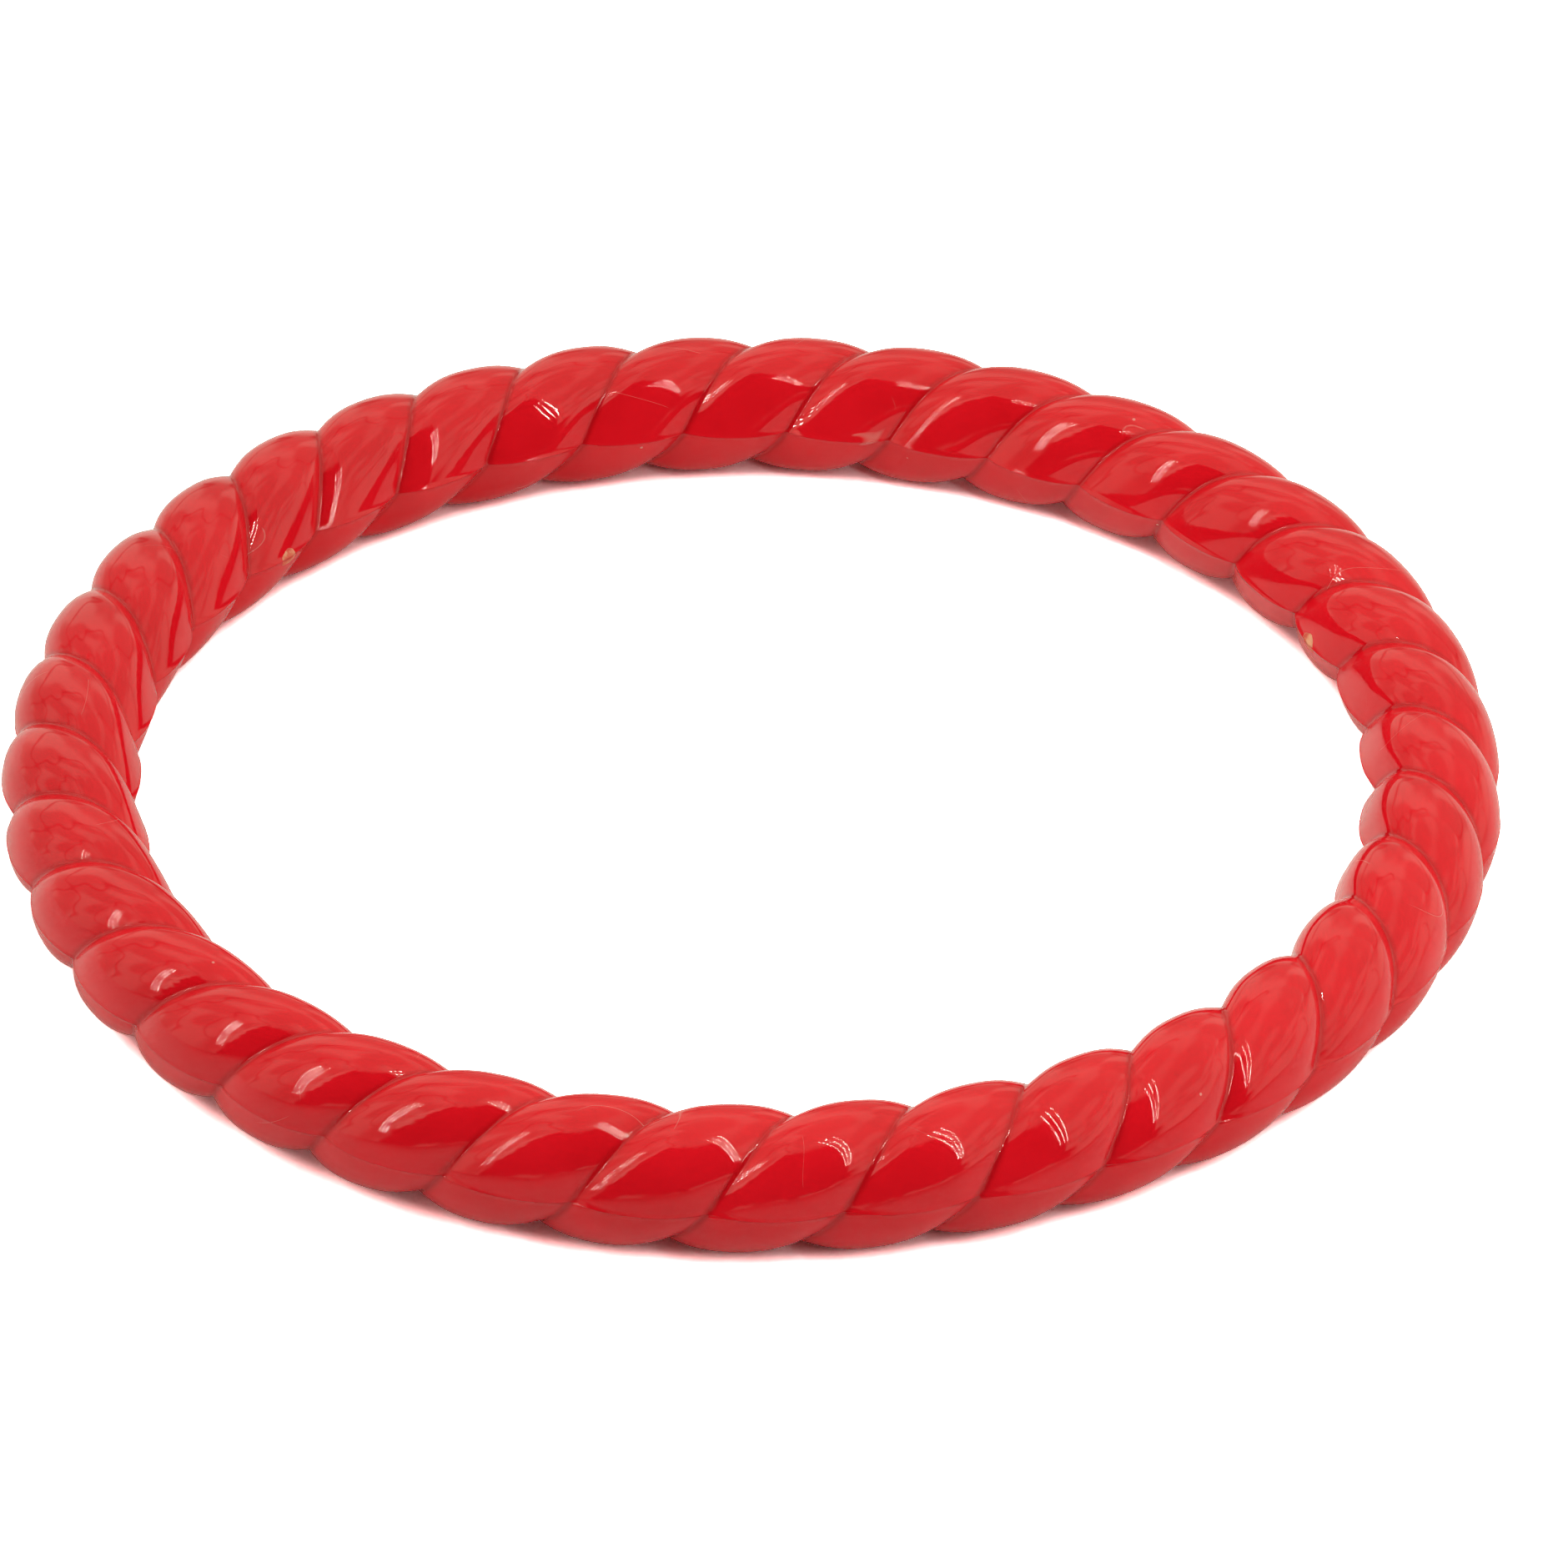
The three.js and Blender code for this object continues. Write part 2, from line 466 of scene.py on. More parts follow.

# %% [markdown]
# ## Glossy red plastic
#
# The finish is a hard, opaque plastic, dyed right through and as glossy as its polished mould.
# On such a surface the red itself is nearly flat. What the eye reads is the room mirrored in
# it, so the fine detail goes where it bends those reflections:
#
# - a fine orange peel, on top of the wave and the ripple that are in the mesh already;
# - faint flow lines, drawn out along the ring, where the plastic slid as it froze;
# - hairline scratches and specks of dust, from handling;
# - a slightly darker, duller line where the two halves of the mould met;
# - painted shade: a deeper red at the bottom of the grooves, for the shade that falls in them. The
#   tree above marks every vertex with how far it is from a groove, and the material reads the mark.
#
# Everything reads Object coordinates, so the pattern stays on the ring from any side. Sizes
# inside the texture nodes are per metre: a scale of 400 gives blotches of about 2.5 mm.

# %% Helper: shader sheet
class ShaderSheet(Sheet):
    """A material's node tree, with calls for the patterns that this object needs."""

    def __init__(self, name):
        self.material = bpy.data.materials.new(name)
        self.material.use_nodes = True
        self.material.node_tree.nodes.clear()
        super().__init__(self.material.node_tree)
        self.place = self.node("ShaderNodeTexCoord").outputs["Object"]

    def noise(self, scale, detail=2.0, place=None):
        made = self.node("ShaderNodeTexNoise", ("Vector", place or self.place), ("Scale", scale),
                         ("Detail", detail))
        return made.outputs[0]

    def mix(self, amount, first, second):
        made = self.node("ShaderNodeMix", (0, amount), (6, first), (7, second), data_type="RGBA")
        return made.outputs[2]


# %% Material: glossy red plastic
RED_DEEP = (0.71, 0.0060, 0.0150, 1.0)
RED_CLEAR = (0.77, 0.0074, 0.0180, 1.0)
DUST = (0.85, 0.50, 0.45, 1.0)
PARTING_RED = (0.46, 0.0040, 0.0090, 1.0)
# painted shade: the deeper red painted into the bottom of the grooves, with how far it reaches and
# how much it shows
GROOVE_SHADE_RED = (0.40, 0.0020, 0.0050, 1.0)
PLASTIC_IOR = 1.44
TONE_SCALE = 260.0
GROOVE_SHADE_REACH = 0.20
GROOVE_SHADE_SHOWS = 0.55
PARTING_HALF_WIDTH = 0.035 * MM
PARTING_WEAR_SCALE = 180.0
PARTING_LEFT = 0.35
PARTING_SHOWS = 0.35
SCRATCH_SCALE = 140.0
SCRATCH_WIDTH = 0.0016
SCRATCH_BARENESS = 0.64
SCRATCH_SOFTNESS = 0.04
SCRATCH_SHOWS = 0.25
DUST_SCALE = 800.0
DUST_SIZE = 0.09
DUST_SHARE = 0.03
DUST_SHOWS = 0.5
POLISH_SCALE = 420.0
POLISHED = 0.02
HANDLED = 0.06
MARK_ROUGHNESS = 0.25
PEEL_SCALE = 2100.0
PEEL_HEIGHT = 0.0005 * MM
FLOW_FINENESS = 2600.0
FLOW_PER_RADIAN = 5.0
FLOW_PATCH_SCALE = 90.0
FLOW_HEIGHT = 0.0022 * MM


def parting_line(sheet, height):
    """A thin band at mid height, worn away in places."""
    off = sheet.calc("ABSOLUTE", sheet.calc("SUBTRACT", height, MIDDLE_HEIGHT))
    band = sheet.remap(off, PARTING_HALF_WIDTH * 0.5, PARTING_HALF_WIDTH, 1.0, 0.0)
    left = sheet.remap(sheet.noise(PARTING_WEAR_SCALE), 0.35, 0.6, PARTING_LEFT, 1.0)
    return sheet.calc("MULTIPLY", band, left)


def flow_lines(sheet, apart):
    """Noise drawn out along the ring, so that it makes long fine lines, in patches."""
    out = sheet.calc("POWER", sheet.calc("ADD", sheet.calc("POWER", apart[0], 2),
                                         sheet.calc("POWER", apart[1], 2)), 0.5)
    around = sheet.calc("ARCTAN2", apart[1], apart[0])
    place = sheet.node("ShaderNodeCombineXYZ", (0, sheet.calc("MULTIPLY", out, FLOW_FINENESS)),
                       (1, sheet.calc("MULTIPLY", around, FLOW_PER_RADIAN)),
                       (2, sheet.calc("MULTIPLY", apart[2], FLOW_FINENESS))).outputs[0]
    patches = sheet.remap(sheet.noise(FLOW_PATCH_SCALE, 0.0), 0.60, 0.70)
    return sheet.calc("MULTIPLY", sheet.noise(1.0, 1.0, place), patches)


def hairlines(sheet):
    """Thin curved lines where one noise crosses its middle, kept where a finer one is high."""
    noise = sheet.noise(SCRATCH_SCALE, 0.0)
    crossing = sheet.calc("ABSOLUTE", sheet.calc("SUBTRACT", noise, NOISE_MIDDLE))
    line = sheet.remap(crossing, 0.0, SCRATCH_WIDTH, 1.0, 0.0)
    kept = sheet.remap(sheet.noise(SCRATCH_SCALE * 1.7, 0.0), SCRATCH_BARENESS,
                       SCRATCH_BARENESS + SCRATCH_SOFTNESS)
    return sheet.calc("MULTIPLY", line, kept)


def specks(sheet):
    """Round specks in a few randomly chosen cells."""
    cells = sheet.node("ShaderNodeTexVoronoi", ("Vector", sheet.place), ("Scale", DUST_SCALE))
    chance = sheet.node("ShaderNodeSeparateColor", (0, cells.outputs["Color"])).outputs[0]
    chosen = sheet.calc("LESS_THAN", chance, DUST_SHARE)
    dot = sheet.remap(cells.outputs["Distance"], DUST_SIZE * 0.5, DUST_SIZE, 1.0, 0.0)
    return sheet.calc("MULTIPLY", dot, chosen)


def red_plastic():
    sheet = ShaderSheet("red_plastic")
    calc = sheet.calc
    apart = sheet.node("ShaderNodeSeparateXYZ", (0, sheet.place)).outputs
    seam = parting_line(sheet, apart[2])
    scratches = hairlines(sheet)
    dust = specks(sheet)

    tone = sheet.mix(sheet.remap(sheet.noise(TONE_SCALE), 0.3, 0.7), RED_DEEP, RED_CLEAR)
    # painted shade: the bottom of each groove is painted a deeper red, for the shade that falls there
    off_groove = sheet.node("ShaderNodeAttribute", attribute_name=GROOVE_MARK).outputs["Fac"]
    groove = sheet.remap(off_groove, 0.0, GROOVE_SHADE_REACH, GROOVE_SHADE_SHOWS, 0.0)
    tone = sheet.mix(groove, tone, GROOVE_SHADE_RED)
    tone = sheet.mix(calc("MULTIPLY", seam, PARTING_SHOWS), tone, PARTING_RED)
    tone = sheet.mix(calc("MULTIPLY", scratches, SCRATCH_SHOWS), tone, DUST)
    tone = sheet.mix(calc("MULTIPLY", dust, DUST_SHOWS), tone, DUST)

    rough = sheet.remap(sheet.noise(POLISH_SCALE), 0.35, 0.75, POLISHED, HANDLED)
    marks = calc("MAXIMUM", scratches, calc("MAXIMUM", dust, seam))
    rough = calc("ADD", rough, calc("MULTIPLY", marks, MARK_ROUGHNESS))

    peel = calc("MULTIPLY", sheet.noise(PEEL_SCALE, 1.0), PEEL_HEIGHT)
    height = calc("ADD", peel, calc("MULTIPLY", flow_lines(sheet, apart), FLOW_HEIGHT))
    bump = sheet.node("ShaderNodeBump", ("Height", height), ("Distance", 1.0))

    shader = sheet.node("ShaderNodeBsdfPrincipled", ("Base Color", tone), ("Roughness", rough),
                        ("IOR", PLASTIC_IOR), ("Normal", bump.outputs[0]))
    sheet.node("ShaderNodeOutputMaterial", ("Surface", shader.outputs[0]))
    return sheet.material


red = red_plastic()
print("red plastic has", len(red.node_tree.nodes), "nodes")

# %% Piece: the ring
ring = run_tree("twisted_ring", ring_tree, {
    "Centreline Radius": CENTRELINE_RADIUS,
    "Middle Height": MIDDLE_HEIGHT,
    "Humps": HUMPS,
    "Turns": TURNS,
    "Twist Phase": math.radians(TWIST_PHASE),
    "Strand Offset": STRAND_OFFSET,
    "Strand Depth": STRAND_DEPTH,
    "Strand Width": STRAND_WIDTH,
    "Height Ratio": HEIGHT_RATIO,
    "Outer Draft": math.radians(OUTER_DRAFT),
    "Bore Draft": math.radians(INNER_DRAFT),
    "Flash": FLASH,
    "Undercut Steps": 10,
    "Merge Distance": 0.005 * MM,
    "Wave Height": 0.12 * MM,
    "Wave Scale": 220.0,
    "Ripple Height": 0.016 * MM,
    "Ripple Scale": 600.0,
    "Seed": 7.0,
    "Material": red,
})
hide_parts("ring")
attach(ring, "root")
print("ring has", len(ring.data.polygons), "faces")

# %% [markdown]
# ## Gate marks
#
# The plastic entered the mould through three gates in the bore, a third of a turn apart. When
# the runners were twisted off, each left a small torn scar across the parting line. Torn
# plastic scatters light instead of mirroring it, so the scar looks pale and orange.
#
# One scar is a thin slab, sunk in the bore wall and bent to lie along it. Noise lifts its face
# a little out of the wall in some places and not in others, so that its outline comes out
# ragged. It is the same rule three times, so Geometry Nodes make it.

# %% Tree: gate scars
SLAB_THICKNESS = 4
SWELL_LOSS = 0.35
SQUEEZE = -0.10
RAGGED_SCALE = 1500.0


def one_scar(sheet, given):
    """A slab bent to lie along the bore wall, whose ragged face looks at the ring's middle."""
    calc = sheet.calc
    slab = sheet.node("GeometryNodeMeshCube", ("Vertices X", 4), ("Vertices Y", 22),
                      ("Vertices Z", 24))
    size = sheet.node("ShaderNodeCombineXYZ", (0, calc("MULTIPLY", given["Proud"], SLAB_THICKNESS)),
                      (1, given["Width"]), (2, given["Tallness"]))
    sheet.put(slab.inputs["Size"], size.outputs[0])
    place = sheet.node("GeometryNodeInputPosition").outputs[0]
    apart = sheet.node("ShaderNodeSeparateXYZ", (0, place)).outputs
    across = calc("DIVIDE", calc("MULTIPLY", apart[1], 2), given["Width"])
    up = calc("DIVIDE", calc("MULTIPLY", apart[2], 2), given["Tallness"])
    from_middle = calc("SQRT", calc("ADD", calc("POWER", calc("ABSOLUTE", across), 4),
                                    calc("POWER", calc("ABSOLUTE", up), 4)))
    swell = calc("SUBTRACT", 1, calc("MULTIPLY", from_middle, SWELL_LOSS))
    ragged = sheet.node("ShaderNodeTexNoise", ("Vector", place), ("W", given["Seed"]),
                        ("Scale", RAGGED_SCALE), ("Detail", 3.0), noise_dimensions="4D").outputs[0]
    tear = calc("MULTIPLY", calc("SUBTRACT", ragged, NOISE_MIDDLE), given["Roughness"])
    front = calc("LESS_THAN", apart[0], 0)
    push = calc("MULTIPLY", calc("ADD", calc("MULTIPLY", swell, given["Proud"]), tear), front)
    squeeze = calc("MULTIPLY", calc("MULTIPLY", from_middle, front), SQUEEZE)
    lean = calc("MULTIPLY", calc("ABSOLUTE", apart[2]), calc("TANGENT", given["Wall Lean"]))
    round_off = calc("ADD", calc("POWER", apart[1], 2), calc("POWER", apart[2], 2))
    back = calc("ADD", lean, calc("MULTIPLY", round_off, given["Wall Bend"]))
    move = sheet.node("ShaderNodeCombineXYZ", (0, calc("SUBTRACT", back, push)),
                      (1, calc("MULTIPLY", apart[1], squeeze)),
                      (2, calc("MULTIPLY", apart[2], squeeze)))
    shaped = sheet.node("GeometryNodeSetPosition", ("Geometry", slab.outputs[0]),
                        ("Offset", move.outputs[0]))
    return shaped.outputs[0]


def scars_on_wall(sheet, scar, given):
    """Copies of the scar on the bore wall at mid height, evenly round the ring."""
    calc = sheet.calc
    points = sheet.node("GeometryNodePoints", ("Count", given["Count"])).outputs[0]
    number = sheet.node("GeometryNodeInputIndex").outputs[0]
    turn = calc("ADD", given["First Angle"],
                calc("DIVIDE", calc("MULTIPLY", number, FULL_TURN), given["Count"]))
    spot = sheet.node("ShaderNodeCombineXYZ",
                      (0, calc("MULTIPLY", calc("COSINE", turn), given["Wall Radius"])),
                      (1, calc("MULTIPLY", calc("SINE", turn), given["Wall Radius"])),
                      (2, given["Middle Height"])).outputs[0]
    set_out = sheet.node("GeometryNodeSetPosition", ("Geometry", points),
                         ("Position", spot)).outputs[0]
    rotation = sheet.node("ShaderNodeCombineXYZ", (2, turn)).outputs[0]
    copies = sheet.node("GeometryNodeInstanceOnPoints", ("Points", set_out),
                        ("Instance", scar), ("Rotation", rotation)).outputs[0]
    return sheet.node("GeometryNodeRealizeInstances", ("Geometry", copies)).outputs[0]


def gate_scars_tree():
    sheet, given, result = new_group(
        "gate_scars",
        [("Count", INT, None), ("First Angle", FLOAT, None), ("Wall Radius", FLOAT, None),
         ("Middle Height", FLOAT, None), ("Width", FLOAT, None), ("Tallness", FLOAT, None),
         ("Proud", FLOAT, None), ("Roughness", FLOAT, None), ("Wall Lean", FLOAT, None),
         ("Wall Bend", FLOAT, None), ("Seed", FLOAT, None), ("Material", MATERIAL, None)],
        [("Geometry", GEOMETRY)])
    scars_made = scars_on_wall(sheet, one_scar(sheet, given), given)
    smooth = sheet.node("GeometryNodeSetShadeSmooth", (0, scars_made)).outputs[0]
    finish = sheet.node("GeometryNodeSetMaterial", ("Geometry", smooth),
                        ("Material", given["Material"]))
    sheet.put(result["Geometry"], finish.outputs[0])
    return sheet.tree


# %% Material: torn plastic
TORN_PALE = (0.86, 0.42, 0.24, 1.0)
TORN_RED = (0.70, 0.090, 0.055, 1.0)
PALE_FADE = 0.15 * MM
PALE_BELOW = 0.45
PALE_EXTRA_ABOVE = 0.55
FIBRE_SCALE = 1500.0
SPLIT_DARK_UNTIL = 0.03 * MM
SPLIT_GONE_FROM = 0.09 * MM
SPLIT_SHOWS = 0.55
TORN_SMOOTHEST = 0.35
TORN_ROUGHEST = 0.65
TORN_PATCH_SCALE = 2400.0
TORN_GRAIN_SCALE = 5200.0
TORN_GRAIN_HEIGHT = 0.05 * MM


def torn_plastic():
    sheet = ShaderSheet("torn_plastic")
    height = sheet.node("ShaderNodeSeparateXYZ", (0, sheet.place)).outputs[2]
    upper = sheet.remap(height, MIDDLE_HEIGHT - PALE_FADE, MIDDLE_HEIGHT + PALE_FADE)
    fibres = sheet.remap(sheet.noise(FIBRE_SCALE, 3.0), 0.38, 0.62)
    pale = sheet.calc("ADD", sheet.calc("MULTIPLY", upper, PALE_EXTRA_ABOVE), PALE_BELOW)
    tone = sheet.mix(sheet.calc("MULTIPLY", pale, fibres), TORN_RED, TORN_PALE)
    line = sheet.calc("ABSOLUTE", sheet.calc("SUBTRACT", height, MIDDLE_HEIGHT))
    dark = sheet.remap(line, SPLIT_DARK_UNTIL, SPLIT_GONE_FROM, SPLIT_SHOWS, 0.0)
    tone = sheet.mix(dark, tone, PARTING_RED)
    rough = sheet.remap(sheet.noise(TORN_PATCH_SCALE), 0.3, 0.7, TORN_SMOOTHEST, TORN_ROUGHEST)
    bump = sheet.node("ShaderNodeBump", ("Height", sheet.noise(TORN_GRAIN_SCALE, 3.0)),
                      ("Distance", TORN_GRAIN_HEIGHT))
    shader = sheet.node("ShaderNodeBsdfPrincipled", ("Base Color", tone), ("Roughness", rough),
                        ("IOR", PLASTIC_IOR), ("Normal", bump.outputs[0]))
    sheet.node("ShaderNodeOutputMaterial", ("Surface", shader.outputs[0]))
    return sheet.material


# %% Piece: three gate scars
BORE_CREST = CENTRELINE_RADIUS - CREST_RADIUS
GATE_TURN = 20
FIRST_GATE = math.radians((180 - TWIST_PHASE) / TURNS + GATE_TURN)
scars = run_tree("gate_scars", gate_scars_tree(), {
    "Count": 3,
    "First Angle": FIRST_GATE,
    "Wall Radius": BORE_CREST + 0.08 * MM,
    "Middle Height": MIDDLE_HEIGHT,
    "Width": 2.40 * MM,
    "Tallness": 1.50 * MM,
    "Proud": 0.05 * MM,
    "Roughness": 0.16 * MM,
    "Wall Lean": math.radians(INNER_DRAFT),
    "Wall Bend": 0.7 / CREST_RADIUS,
    "Seed": 4.0,
    "Material": torn_plastic(),
})
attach(scars, "root")
print("gate scars have", len(scars.data.polygons), "faces")

# %% [markdown]
# ## Studio
#
# A white sweep under a small cloth light tent. What matters is what the ring mirrors, so the
# tent is drawn in the world's shader, by direction:
#
# - a warm white ceiling, darker towards the foot of the walls, with soft folds and a few thin
#   creases in the cloth;
# - the dark opening on the camera's side, through which the picture is taken, with a brighter
#   left edge;
# - a lit panel that hangs low at the right, and a strip of small lamps on each side of the
#   opening. These are real meshes, so that every hump mirrors them from its own place.
#
# A product picture on white is exposed until the sweep burns out. The floor does the same: the
# camera sees it several times as bright as it is, so that only the contact shadow is left. That
# shadow is kept narrow and dark by painting the sweep darker right under the rope. The ring
# mirrors the floor with painted shade on it, painted dimmer towards the opening.

# %% Floor
FLOOR_HALF = 0.6
BURN_DOUBLINGS = 3
DIM_FROM = -120 * MM
DIM_UNTIL = -10 * MM
SHADE_FROM = 1.0 * MM
SHADE_UNTIL = 2.3 * MM
SWEEP_NEAR_OPENING = (0.26, 0.26, 0.27, 1.0)
SWEEP_LIT = (0.93, 0.93, 0.97, 1.0)
PAINT_UNDER_ROPE = (0.18, 0.17, 0.19, 1.0)
PAINT_CLEAR = (0.66, 0.70, 0.79, 1.0)


def make_floor():
    """A white sheet: what the camera sees of it is burnt out, what the ring mirrors is not."""
    mesh = bpy.data.meshes.new("floor")
    corners = [(-FLOOR_HALF, -FLOOR_HALF, 0), (FLOOR_HALF, -FLOOR_HALF, 0),
               (FLOOR_HALF, FLOOR_HALF, 0), (-FLOOR_HALF, FLOOR_HALF, 0)]
    mesh.from_pydata(corners, [], [(0, 1, 2, 3)])
    floor = bpy.data.objects.new("floor", mesh)
    bpy.context.scene.collection.objects.link(floor)
    sheet = ShaderSheet("white_sweep")
    depth = sheet.node("ShaderNodeSeparateXYZ", (0, sheet.place)).outputs[1]
    out = sheet.node("ShaderNodeVectorMath", (0, sheet.place), operation="LENGTH").outputs["Value"]
    from_rope = sheet.calc("ABSOLUTE", sheet.calc("SUBTRACT", out, CENTRELINE_RADIUS))
    clear = sheet.remap(from_rope, SHADE_FROM, SHADE_UNTIL, 0.0, 1.0)
    # painted shade: what the ring mirrors of the floor is painted darker towards the opening
    lit = sheet.remap(depth, DIM_FROM, DIM_UNTIL, 0.0, 1.0)
    grey = sheet.mix(lit, SWEEP_NEAR_OPENING, SWEEP_LIT)
    mirrored = sheet.node("ShaderNodeBsdfDiffuse", ("Color", grey)).outputs[0]
    paint = sheet.mix(clear, PAINT_UNDER_ROPE, PAINT_CLEAR)
    burnt = sheet.node("ShaderNodeBsdfDiffuse", ("Color", paint)).outputs[0]
    for _ in range(BURN_DOUBLINGS):
        burnt = sheet.node("ShaderNodeAddShader", (0, burnt), (1, burnt)).outputs[0]
    seen = sheet.node("ShaderNodeLightPath").outputs["Is Camera Ray"]
    shown = sheet.node("ShaderNodeMixShader", (0, seen), (1, mirrored), (2, burnt))
    sheet.node("ShaderNodeOutputMaterial", ("Surface", shown.outputs[0]))
    mesh.materials.append(sheet.material)


make_floor()
print("floor is", 2 * FLOOR_HALF, "m square")

# %% Light tent
TENT_WARMTH = (1.0, 0.97, 0.78, 1.0)
SEEN_WHITE = (1.0, 1.0, 1.0, 1.0)
CEILING_LIGHT = 1.27
CEILING_FROM = math.radians(70)
WALL_FOOT_LIGHT = 0.88
BRIGHT_SIDE = math.radians(80)
FOOT_EXTRA_ONE_SIDE = 0.13
FOOT_EXTRA_TWO_SIDES = 0.16
FOLD_SCALE = 2.6
FOLD_DISTORTION = 0.3
FOLD_DIMMEST = 0.60
FOLD_BRIGHTEST = 1.18
CREASE_SCALE = 1.7
CREASE_CORE = 0.004
CREASE_EDGE = 0.022
CREASE_DIMMEST = 0.45
GAP_LIGHT = 0.02
GAP_FROM_SIDE = math.radians(-3)
GAP_HALF_WIDTH = math.radians(52)
GAP_BOTTOM = math.radians(2)
GAP_TOP = math.radians(76)
GAP_SOFTNESS = math.radians(2.5)
WOBBLE_SCALE = 4.0
WOBBLE_DISTORTION = 0.6
WOBBLE_ANGLE = math.radians(22)
EDGE_LIGHT = 0.8
EDGE_WIDTH = math.radians(7)
EDGE_SOFTNESS = math.radians(1.5)
EDGE_BOTTOM = math.radians(15)
EDGE_TOP = math.radians(62)
EDGE_END_SOFTNESS = math.radians(6)


class TentSheet(Sheet):
    """The world's node tree, with the few calls that the tent is drawn with."""

    def __init__(self, tree):
        super().__init__(tree)
        self.toward = self.node("ShaderNodeTexCoord").outputs["Generated"]

    def cloth(self, scale, detail, distortion=0.0):
        made = self.node("ShaderNodeTexNoise", ("Vector", self.toward), ("Scale", scale),
                         ("Detail", detail), ("Distortion", distortion))
        return made.outputs[0]

    def between(self, value, low, high, softness):
        """1 inside a range, 0 outside it, with soft edges."""
        rise = self.remap(value, low - softness, low + softness)
        fall = self.remap(value, high - softness, high + softness, 1.0, 0.0)
        return self.calc("MULTIPLY", rise, fall)


def cloth_light(sheet, side, rise):
    """How bright the cloth is in each direction: wall foot, ceiling, folds and creases."""
    calc = sheet.calc
    from_bright = calc("SUBTRACT", side, BRIGHT_SIDE)
    two_sides = calc("COSINE", calc("MULTIPLY", from_bright, 2))
    foot = calc("ADD", calc("MULTIPLY", calc("COSINE", from_bright), FOOT_EXTRA_ONE_SIDE),
                calc("MULTIPLY", two_sides, FOOT_EXTRA_TWO_SIDES))
    foot = calc("ADD", foot, WALL_FOOT_LIGHT)
    height = sheet.remap(rise, 0.0, CEILING_FROM)
    wall = calc("ADD", calc("MULTIPLY", foot, calc("SUBTRACT", 1, height)),
                calc("MULTIPLY", height, CEILING_LIGHT))
    folds = sheet.cloth(FOLD_SCALE, 0.0, FOLD_DISTORTION)
    wall = calc("MULTIPLY", wall, sheet.remap(folds, 0.38, 0.62, FOLD_DIMMEST, FOLD_BRIGHTEST))
    crossing = calc("ABSOLUTE", calc("SUBTRACT", sheet.cloth(CREASE_SCALE, 1.0), NOISE_MIDDLE))
    creases = sheet.remap(crossing, CREASE_CORE, CREASE_EDGE, CREASE_DIMMEST, 1.0)
    return calc("MULTIPLY", wall, creases)


def make_tent():
    """The tent as the world: the ring mirrors its cloth and opening, the camera sees white."""
    world = bpy.data.worlds.new("light_tent")
    world.use_nodes = True
    world.node_tree.nodes.clear()
    bpy.context.scene.world = world
    sheet = TentSheet(world.node_tree)
    calc = sheet.calc
    apart = sheet.node("ShaderNodeSeparateXYZ", (0, sheet.toward)).outputs
    side = calc("ARCTAN2", apart[0], calc("MULTIPLY", apart[1], -1))
    rise = calc("ARCSINE", apart[2])

    cloth = sheet.cloth(WOBBLE_SCALE, 2.0, WOBBLE_DISTORTION)
    wobble = calc("MULTIPLY", calc("SUBTRACT", cloth, NOISE_MIDDLE), WOBBLE_ANGLE)
    across = calc("SUBTRACT", calc("ADD", side, wobble), GAP_FROM_SIDE)
    gap = calc("MULTIPLY", sheet.between(across, -GAP_HALF_WIDTH, GAP_HALF_WIDTH, GAP_SOFTNESS),
               sheet.between(calc("ADD", rise, wobble), GAP_BOTTOM, GAP_TOP, GAP_SOFTNESS))

    wall = cloth_light(sheet, side, rise)
    beside = sheet.between(across, -GAP_HALF_WIDTH - EDGE_WIDTH, -GAP_HALF_WIDTH, EDGE_SOFTNESS)
    left_edge = calc("MULTIPLY", beside,
                     sheet.between(rise, EDGE_BOTTOM, EDGE_TOP, EDGE_END_SOFTNESS))
    wall = calc("ADD", wall, calc("MULTIPLY", left_edge, EDGE_LIGHT))
    mirrored = calc("ADD", calc("MULTIPLY", wall, calc("SUBTRACT", 1, gap)),
                    calc("MULTIPLY", gap, GAP_LIGHT))

    seen = sheet.node("ShaderNodeLightPath").outputs["Is Camera Ray"]
    tint = sheet.node("ShaderNodeMix", (0, seen), (6, TENT_WARMTH), (7, SEEN_WHITE),
                      data_type="RGBA").outputs[2]
    strength = sheet.node("ShaderNodeMix", (0, seen), (2, mirrored), (3, 1.0)).outputs[0]
    light = sheet.node("ShaderNodeBackground", ("Color", tint), ("Strength", strength))
    sheet.node("ShaderNodeOutputWorld", ("Surface", light.outputs[0]))


make_tent()
print("tent ceiling glows at", CEILING_LIGHT)

# %% Right-hand ceiling panel
PANEL_HEIGHT = 130 * MM
PANEL_EDGE_START = Vector((-60 * MM, 53 * MM, PANEL_HEIGHT))
PANEL_EDGE = Vector((0.687, -0.727, 0.0))
PANEL_LENGTH = 700 * MM
PANEL_FAR_CORNERS = [(720 * MM, -470 * MM, PANEL_HEIGHT), (260 * MM, 160 * MM, PANEL_HEIGHT)]
EDGE_POINTS = 60
EDGE_CROWDING = 1.3
EDGE_CREASE = 2 * MM
EDGE_SEED = 5
PANEL_FOLD_SCALE = 14.0
PANEL_DIMMEST = 0.62 * CEILING_LIGHT


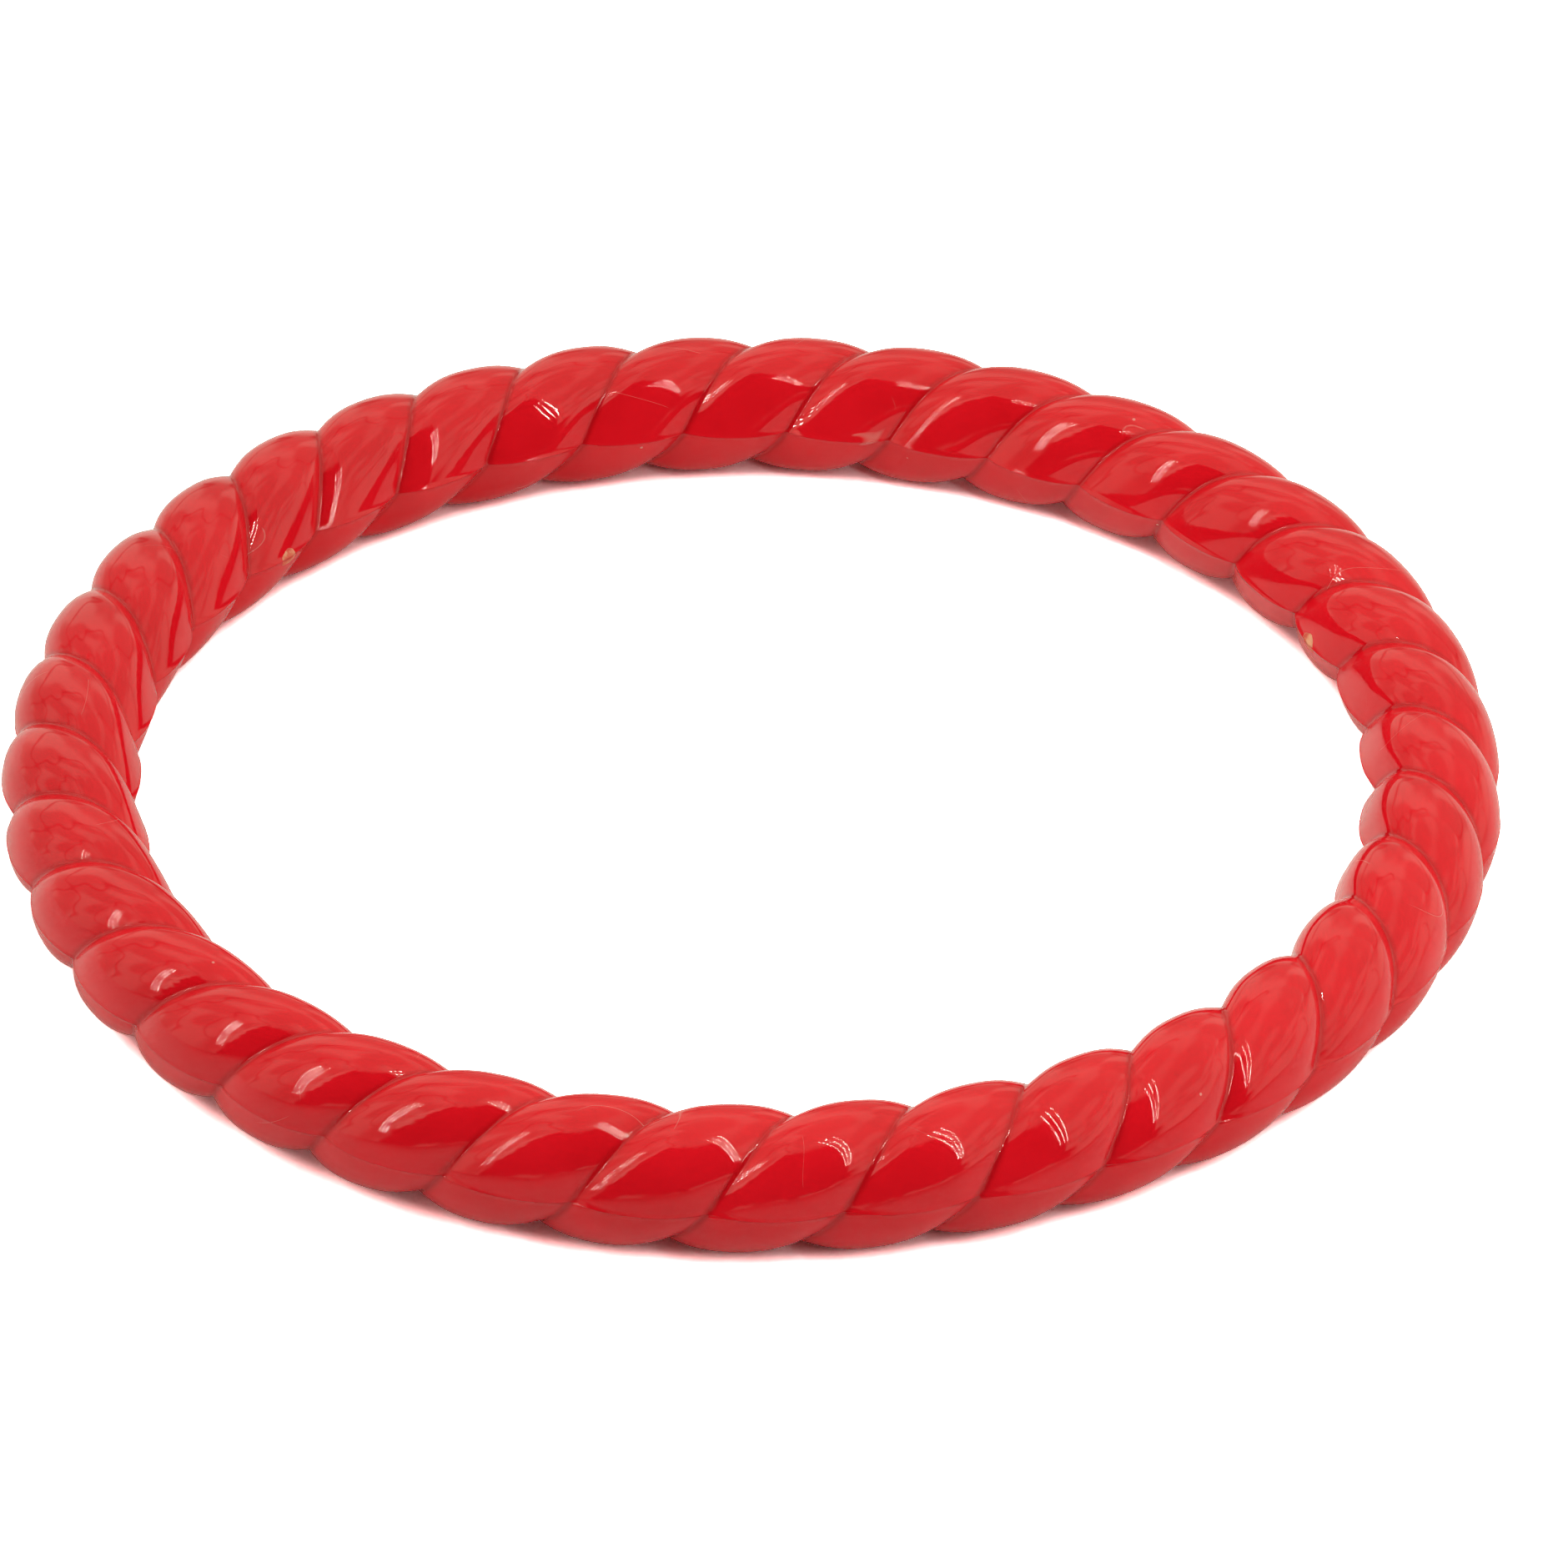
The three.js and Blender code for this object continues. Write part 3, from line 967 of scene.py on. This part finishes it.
def make_panel():
    """A lit cloth panel that hangs low on the right; its near edge is creased."""
    wander = random.Random(EDGE_SEED)
    across = Vector((0, 0, 1)).cross(PANEL_EDGE)
    edge = []
    for number in range(EDGE_POINTS + 1):
        along = PANEL_LENGTH * (number / EDGE_POINTS)**EDGE_CROWDING
        edge.append(PANEL_EDGE_START + PANEL_EDGE * along
                    + across * EDGE_CREASE * wander.uniform(-1, 1))
    corners = edge + [Vector(corner) for corner in PANEL_FAR_CORNERS]
    mesh = bpy.data.meshes.new("ceiling_panel")
    mesh.from_pydata(corners, [], [range(len(corners))])
    panel = bpy.data.objects.new("ceiling_panel", mesh)
    bpy.context.scene.collection.objects.link(panel)
    sheet = ShaderSheet("lit_cloth")
    folds = sheet.remap(sheet.noise(PANEL_FOLD_SCALE, 0.0), 0.40, 0.60, PANEL_DIMMEST, CEILING_LIGHT)
    cloth = sheet.node("ShaderNodeEmission", ("Color", TENT_WARMTH), ("Strength", folds))
    sheet.node("ShaderNodeOutputMaterial", ("Surface", cloth.outputs[0]))
    mesh.materials.append(sheet.material)
    panel.visible_camera = False


make_panel()
print("ceiling panel edge has", EDGE_POINTS, "creases")

# %% Lamp strips
LAMP_SPACING = 9 * MM
LAMP_RADIUS = 0.9 * MM
LAMP_GLOW = 180.0
LAMP_WHITE = (1.0, 0.93, 0.84, 1.0)
LAMP_ROWS = 3
LAMP_FACES = 20
STRIPS = {
    "right": ((24 * MM, -30 * MM, 127 * MM), (210 * MM, -227 * MM, 127 * MM), 1.0),
    "left": ((-870 * MM, -459 * MM, 259 * MM), (-534 * MM, 7 * MM, 866 * MM), 5.5),
}


def lamp_strip_tree():
    sheet, given, result = new_group(
        "lamp_strip",
        [("Start", VECTOR, None), ("End", VECTOR, None),
         ("Rows", INT, None), ("Spacing", FLOAT, None), ("Radius", FLOAT, None),
         ("Material", MATERIAL, None)],
        [("Geometry", GEOMETRY)])
    calc = sheet.calc
    vector = "ShaderNodeVectorMath"
    along = sheet.node(vector, (0, given["End"]), (1, given["Start"]),
                       operation="SUBTRACT").outputs[0]
    length = sheet.node(vector, (0, along), operation="LENGTH").outputs["Value"]
    across = sheet.node(vector, (0, along), (1, (0, 0, 1)), operation="CROSS_PRODUCT").outputs[0]
    across = sheet.node(vector, (0, across), operation="NORMALIZE").outputs[0]
    columns = calc("FLOOR", calc("DIVIDE", length, given["Spacing"]))
    points = sheet.node("GeometryNodePoints",
                        ("Count", calc("MULTIPLY", columns, given["Rows"]))).outputs[0]
    number = sheet.node("GeometryNodeInputIndex").outputs[0]
    column = calc("FLOOR", calc("DIVIDE", calc("ADD", number, COUNT_GUARD), given["Rows"]))
    row = calc("SUBTRACT", number, calc("MULTIPLY", column, given["Rows"]))
    down = sheet.node(vector, (0, along), ("Scale", calc("DIVIDE", column, columns)),
                      operation="SCALE").outputs[0]
    beside = sheet.node(vector, (0, across), ("Scale", calc("MULTIPLY", row, given["Spacing"])),
                        operation="SCALE").outputs[0]
    place = sheet.node(vector, (0, given["Start"]), (1, down), operation="ADD").outputs[0]
    place = sheet.node(vector, (0, place), (1, beside), operation="ADD").outputs[0]
    set_out = sheet.node("GeometryNodeSetPosition", ("Geometry", points),
                         ("Position", place)).outputs[0]
    lamp = sheet.node("GeometryNodeMeshIcoSphere", ("Radius", given["Radius"]),
                      ("Subdivisions", 1)).outputs[0]
    lamps = sheet.node("GeometryNodeInstanceOnPoints", ("Points", set_out),
                       ("Instance", lamp)).outputs[0]
    real = sheet.node("GeometryNodeRealizeInstances", ("Geometry", lamps))
    finish = sheet.node("GeometryNodeSetMaterial", ("Geometry", real.outputs[0]),
                        ("Material", given["Material"]))
    sheet.put(result["Geometry"], finish.outputs[0])
    return sheet.tree


def lamp_glow():
    sheet = ShaderSheet("lamp_glow")
    emission = sheet.node("ShaderNodeEmission", ("Color", LAMP_WHITE), ("Strength", LAMP_GLOW))
    sheet.node("ShaderNodeOutputMaterial", ("Surface", emission.outputs[0]))
    return sheet.material


strip_tree = lamp_strip_tree()
glow = lamp_glow()
for side, (start, end, size) in STRIPS.items():
    strip = run_tree("lamp_strip_" + side, strip_tree, {
        "Start": start,
        "End": end,
        "Rows": LAMP_ROWS,
        "Spacing": LAMP_SPACING * size,
        "Radius": LAMP_RADIUS * size,
        "Material": glow,
    })
    strip.visible_camera = False
    print(side, "strip has", len(strip.data.polygons) // LAMP_FACES, "lamps")

# %% [markdown]
# ## View
#
# The plain view transform shows the burnt-out white as white.

# %% View
bpy.context.scene.view_settings.view_transform = "Standard"
